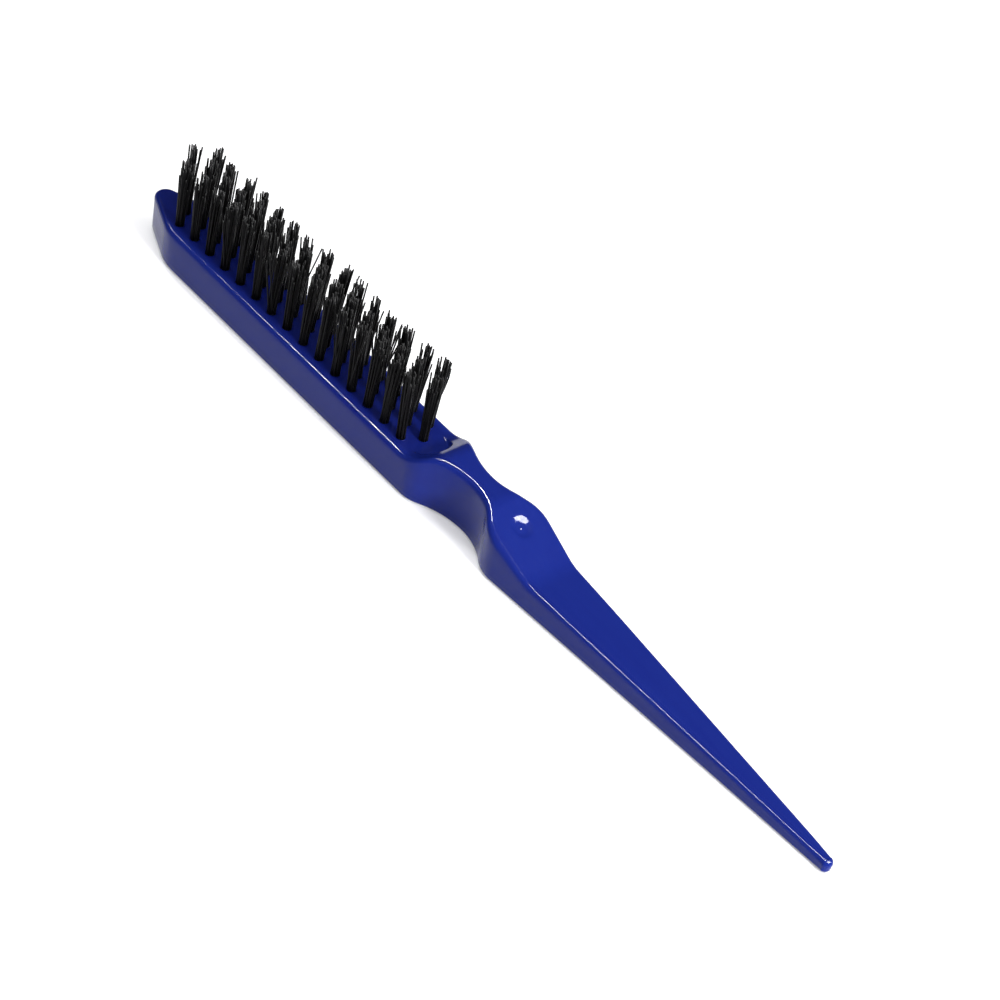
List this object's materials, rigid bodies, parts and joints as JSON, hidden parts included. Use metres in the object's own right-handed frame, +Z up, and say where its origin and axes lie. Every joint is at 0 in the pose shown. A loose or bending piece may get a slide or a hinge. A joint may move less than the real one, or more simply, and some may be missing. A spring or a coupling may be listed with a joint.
{
  "type": "teasing brush",
  "caption": "Slim hairdresser's teasing brush: flat-backed moulded body with staggered rows of nylon tufts, a narrow waist, a thumb rest and a tapering tail for parting hair.",
  "frame": {"origin": "middle of the flat back that the brush lies on, half way along the brush", "axes": "+X from the head's tip to the tail's tip, +Y across the brush, +Z up along the tufts"},
  "size_m": [0.2228, 0.015, 0.0282],
  "materials": {
    "moulded_body": "glossy royal blue injection-moulded plastic",
    "bristle_nylon": "black drawn nylon filament with a satin surface",
    "anchor_wire": "bright drawn flat wire"
  },
  "bodies": {
    "root": {"handle_body": "moulded_body", "front_tuft_01": "bristle_nylon", "front_tuft_02": "bristle_nylon", "front_tuft_03": "bristle_nylon", "front_tuft_04": "bristle_nylon", "front_tuft_05": "bristle_nylon", "front_tuft_06": "bristle_nylon", "front_tuft_07": "bristle_nylon", "front_tuft_08": "bristle_nylon", "front_tuft_09": "bristle_nylon", "front_tuft_10": "bristle_nylon", "front_tuft_11": "bristle_nylon", "front_tuft_12": "bristle_nylon", "front_tuft_13": "bristle_nylon", "front_tuft_14": "bristle_nylon", "front_tuft_15": "bristle_nylon", "middle_tuft_01": "bristle_nylon", "middle_tuft_02": "bristle_nylon", "middle_tuft_03": "bristle_nylon", "middle_tuft_04": "bristle_nylon", "middle_tuft_05": "bristle_nylon", "middle_tuft_06": "bristle_nylon", "middle_tuft_07": "bristle_nylon", "middle_tuft_08": "bristle_nylon", "middle_tuft_09": "bristle_nylon", "middle_tuft_10": "bristle_nylon", "middle_tuft_11": "bristle_nylon", "middle_tuft_12": "bristle_nylon", "middle_tuft_13": "bristle_nylon", "middle_tuft_14": "bristle_nylon", "middle_tuft_15": "bristle_nylon", "middle_tuft_16": "bristle_nylon", "back_tuft_01": "bristle_nylon", "back_tuft_02": "bristle_nylon", "back_tuft_03": "bristle_nylon", "back_tuft_04": "bristle_nylon", "back_tuft_05": "bristle_nylon", "back_tuft_06": "bristle_nylon", "back_tuft_07": "bristle_nylon", "back_tuft_08": "bristle_nylon", "back_tuft_09": "bristle_nylon", "back_tuft_10": "bristle_nylon", "back_tuft_11": "bristle_nylon", "back_tuft_12": "bristle_nylon", "back_tuft_13": "bristle_nylon", "back_tuft_14": "bristle_nylon", "back_tuft_15": "bristle_nylon", "front_row_anchors": "anchor_wire", "middle_row_anchors": "anchor_wire", "back_row_anchors": "anchor_wire"}
  },
  "joints": []
}
